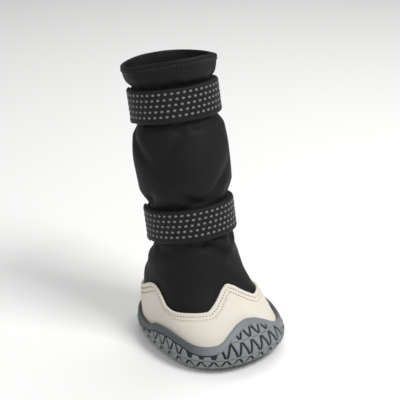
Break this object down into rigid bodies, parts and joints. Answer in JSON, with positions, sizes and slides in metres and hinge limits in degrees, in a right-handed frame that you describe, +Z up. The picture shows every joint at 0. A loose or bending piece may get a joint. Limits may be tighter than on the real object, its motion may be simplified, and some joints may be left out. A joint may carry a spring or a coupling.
{
  "type": "dog boot",
  "caption": "Tall soft winter boot for a dog's paw, with a lugged rubber cup sole, a sewn rand and webbing straps round its shaft.",
  "frame": {"origin": "on the ground, in the middle of the plain pad under the heel", "axes": "+X towards the toe, +Y to the boot's left side, +Z up"},
  "size_m": [0.1027, 0.07, 0.1572],
  "materials": {
    "rubber": "matte moulded rubber, mid grey",
    "footbed": "matte black felted foam",
    "rand": "matte brushed synthetic suede, warm off-white",
    "softshell": "matte black stretch softshell",
    "webbing": "black woven webbing with rows of light grey dots"
  },
  "bodies": {
    "root": {"outsole": "rubber", "insole": "footbed", "rand": "rand", "upper": "softshell", "ankle_strap": "webbing", "ankle_strap_lap": "webbing", "cuff_strap": "webbing", "cuff_strap_lap": "webbing"}
  },
  "joints": []
}
